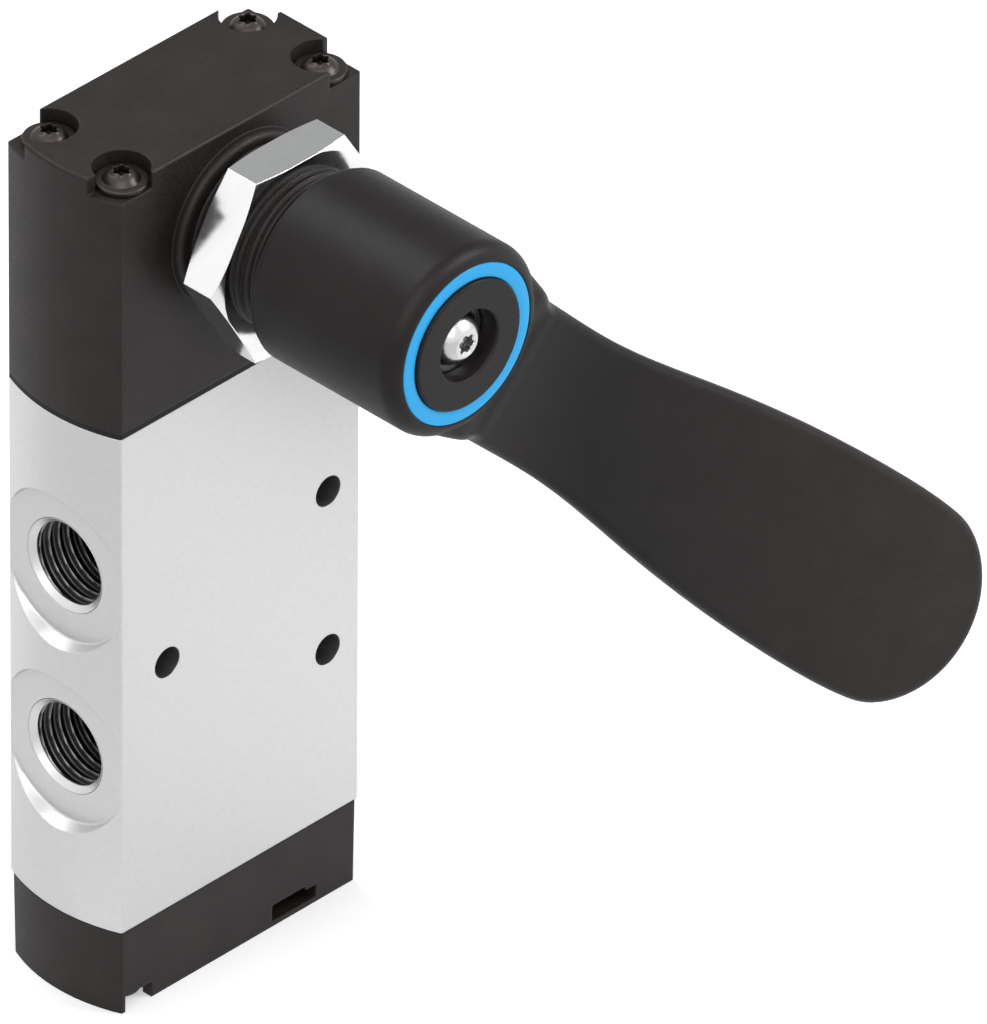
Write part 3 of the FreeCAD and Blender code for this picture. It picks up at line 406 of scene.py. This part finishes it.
def domed_screw(length, shank_r, flange_r, top, dome_r, head_height, socket_r, lobe, socket_depth):
    """Profile of a screw in millimetres, seat at height 0: shank with a chamfered tip, flange up to top
    with a round edge, dome as part of a ball, six lobed socket with a countersunk mouth."""
    tip, edge = 0.35, 0.2
    mouth, straight_from, drill_tip = 0.12, 0.3, 0.2
    socket_wall_r, socket_floor = socket_r - 0.04, head_height - socket_depth
    rise = head_height - top
    ball_r = (dome_r ** 2 + rise ** 2) / (2 * rise)
    ball_h = head_height - ball_r
    start = math.degrees(math.acos(dome_r / ball_r))
    end = math.degrees(math.acos((socket_r + lobe + mouth) / ball_r))
    return ([(shank_r - tip, -length, 0), (shank_r, tip - length, 0), (shank_r, 0, 0)]
            + [(flange_r - edge, 0, 0)] + arc(flange_r - edge, edge, edge, -90, 0, 5)
            + arc(flange_r - edge, top - edge, edge, 0, 90, 5) + arc(0, ball_h, ball_r, start, end, 9)
            + [(socket_r + 0.03, head_height - mouth, lobe),
               (socket_wall_r, head_height - straight_from, lobe),
               (socket_wall_r, socket_floor, lobe), (socket_r / 2, socket_floor - drill_tip, 0)])


# Painted shade: the blackened steel darkens in its sockets, where the surroundings close in.
blackened = finish("blackened_steel", ("423C3A", "48423F"), (0.32, 0.36), 0.25 * MM, 0.0003 * MM, 0.08 * MM,
                   cloud=1.5 * MM, hole=("0C0B0B", 0.45), Metallic=0.7)
corner_shank_r = 1.5
corner_head_height = 2.07
# Radius, lobe and depth.
corner_socket = (1.08, 0.17, 1.2)
screw_columns = 72
housing_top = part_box("actuator_housing")[1][2]
# Node, height of the heads' seat, way that the heads point, radius and thickness of the flange, radius
# of the dome; the base has deeper pan heads.
corner_screws = (("housing_screws", housing_top - 2.5 * MM, 1, 3.45, 0.75, 2.45),
                 ("base_screws", 2.4 * MM, -1, 2.8, 1.6, 2.5))

for node, seat, points_up, flange_r, flange_top, dome_r in corner_screws:
    low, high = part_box(node)
    length = (seat - low[2] if points_up > 0 else high[2] - seat) / MM
    profile = domed_screw(length, corner_shank_r, flange_r, flange_top, dome_r, corner_head_height,
                          *corner_socket)
    out_x, out_y = high[0] - flange_r * MM, high[1] - flange_r * MM
    groups = [turned((sx * out_x, sy * out_y, seat), (0, 0, points_up), profile, screw_columns)
              for sx in (-1, 1) for sy in (-1, 1)]
    screws = skin(node + "_six_lobed", groups, blackened, "valve")
    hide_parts(node)

# Panel nut. Nickel plated brass, polished, 27 mm across its flats. It comes from CAD.
nickel = finish("polished_nickel", ("F7F7F7", "FBFBFB"), (0.1, 0.16), 1.5 * MM, 0.001 * MM, 0.2 * MM,
                Metallic=1.0)
dress(nodes["panel_nut"], nickel)

# Lever. One moulding of black nylon, hub and blade, with a finer grain than the housing. It comes
# from CAD.
lever_nylon = finish("fine_grained_black_nylon", ("2D2927", "383432"), (0.36, 0.5), 0.22 * MM, 0.022 * MM,
                     0.25 * MM, **{"Specular IOR Level": 0.24})
# Painted shade and light: the lever's black is deepest at the blade's root, 23 mm out from the axis,
# and greyest at the far end, where the light falls more strongly along the blade.
painted_shade_from, painted_shade_to = 10 * MM, 95 * MM
tree = lever_nylon.node_tree
base_in = tree.nodes["Principled BSDF"].inputs["Base Color"]
place = add(tree, "TexCoord").outputs["Object"]
reach = add(tree, "SeparateXYZ", links={0: place}).outputs["X"]
painted_shade_reach = add(tree, "MapRange", values={"From Min": painted_shade_from, "From Max": painted_shade_to},
              links={"Value": reach}).outputs[0]
lever_shade_tones = ramp(tree, painted_shade_reach, [(0.0, "A8A8A8"), (0.15, "7C7C7C"), (1.0, "FFFFFF")])
lever_shaded = add(tree, "Mix", values={0: 1.0}, links={6: base_in.links[0].from_socket, 7: lever_shade_tones},
           data_type="RGBA", blend_type="MULTIPLY").outputs[2]
tree.links.new(lever_shaded, base_in)
dress(nodes["lever"], lever_nylon)


# Hub ring. Light blue plastic ring pressed in the hub's face, its edges rounded, so that a dark seam
# stands on both sides.
def rounded_band(inner_r, outer_r, thickness, edge):
    """Profile loop of a flat ring, front at height 0, all four edges rounded; in millimetres."""
    front, rear = -edge, edge - thickness
    return (arc(outer_r - edge, front, edge, 90, 0, 5) + arc(outer_r - edge, rear, edge, 0, -90, 5)
            + arc(inner_r + edge, rear, edge, -90, -180, 5) + arc(inner_r + edge, front, edge, 180, 90, 5))


blue = finish("light_blue_plastic", ("06B4FD", "0CB8FF"), (0.3, 0.4), 0.4 * MM, 0.003 * MM, 0.1 * MM)
ring_inner_r = 9.07
ring_seam = 0.02
ring_edge = 0.22
ring_columns = 160
ring_low, ring_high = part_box("hub_ring")
face_y = ring_low[1]
ring_thick = (ring_high[1] - face_y) / MM
ring_profile = rounded_band(ring_inner_r, ring_high[0] / MM - ring_seam, ring_thick, ring_edge)
ring = skin("hub_ring_rounded", [turned((0, face_y, axis_z), (0, -1, 0), ring_profile, ring_columns)], blue,
            "lever", loop=True)
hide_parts("hub_ring")

# Hub washer and screw. Bright nickel plate; an M4 button head with a six lobed socket presses the
# washer on the hub's core.
# Painted shade: the nickel plate darkens in the hub's recess and the screw's socket, where the surroundings
# close in.
nickel_plate = finish("bright_nickel_plate", ("DCDCDC", "E4E4E4"), (0.2, 0.28), 0.3 * MM, 0.001 * MM,
                      0.05 * MM, hole=("6E6E6E", 0.5), Metallic=1.0)
washer_inner_r = 2.05
washer_edge = 0.12
washer_columns = 128
washer_low, washer_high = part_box("hub_washer")
washer_thick = (washer_high[1] - washer_low[1]) / MM
washer_profile = rounded_band(washer_inner_r, washer_high[0] / MM, washer_thick, washer_edge)
washer_rings = turned((0, washer_low[1], axis_z), (0, -1, 0), washer_profile, washer_columns)
washer = skin("hub_washer_rounded", [washer_rings], nickel_plate, "lever", loop=True)
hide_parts("hub_washer")

screw_low, screw_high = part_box("hub_screw")
head_height = (washer_low[1] - screw_low[1]) / MM
shank = (screw_high[1] - washer_low[1]) / MM
shank_r, tip = 2.0, 0.35
head_r, crown_r = 3.8, 1.85
mouth_r, socket_r, lobe, socket_depth = 1.45, 1.16, 0.18, 1.4
button_columns = 96
# The crown's ball passes through the head's foot and the rim of its flat top.
ball_drop = (head_r ** 2 - crown_r ** 2 - head_height ** 2) / (2 * head_height)
ball_r = math.hypot(head_r, ball_drop)
crown_from = math.degrees(math.asin((ball_drop + 0.25) / ball_r))
crown_to = math.degrees(math.acos((crown_r + 0.1) / ball_r))
button = ([(shank_r - tip, -shank, 0), (shank_r, tip - shank, 0), (shank_r, 0, 0)]
          + [(head_r - 0.15, 0, 0), (head_r, 0.12, 0)] + arc(0, -ball_drop, ball_r, crown_from, crown_to, 12)
          + [(crown_r - 0.05, head_height, 0), (mouth_r, head_height, 0), (1.2, head_height - 0.12, lobe),
             (socket_r, head_height - 0.3, lobe), (socket_r, head_height - socket_depth, lobe),
             (0.6, head_height - socket_depth - 0.2, 0)])
button_rings = turned((0, washer_low[1], axis_z), (0, -1, 0), button, button_columns)
hub_screw = skin("hub_screw_six_lobed", [button_rings], nickel_plate, "lever")
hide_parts("hub_screw")

# Inner works. Ground steel shaft, pins, yoke, core and spring, blackened clip, sintered bronze bushes
# and a hard anodised spool; they come from CAD and show only through the ports and the gap behind the hub.
ground = finish("ground_steel", ("8F9092", "A0A1A3"), (0.22, 0.34), 0.2 * MM, 0.003 * MM, 0.1 * MM,
                stretch=(1, 6, 1), Metallic=1.0)
for name in ("lever_shaft", "crank_pin", "hub_insert", "spool_yoke", "yoke_pin", "detent_spring"):
    dress(nodes[name], ground)
dress(nodes["shaft_clip"], blackened)
bronze = finish("sintered_bronze", ("96693F", "A8784D"), (0.4, 0.6), 0.15 * MM, 0.01 * MM, 0.1 * MM,
                Metallic=1.0)
for name in ("front_bush", "rear_bush", "guide_ring"):
    dress(nodes[name], bronze)
anodised = finish("hard_anodised_spool", ("A9ABAD", "B6B8BA"), (0.3, 0.42), 0.2 * MM, 0.004 * MM, 0.1 * MM,
                  stretch=(1, 1, 6), Metallic=1.0)
dress(nodes["spool"], anodised)
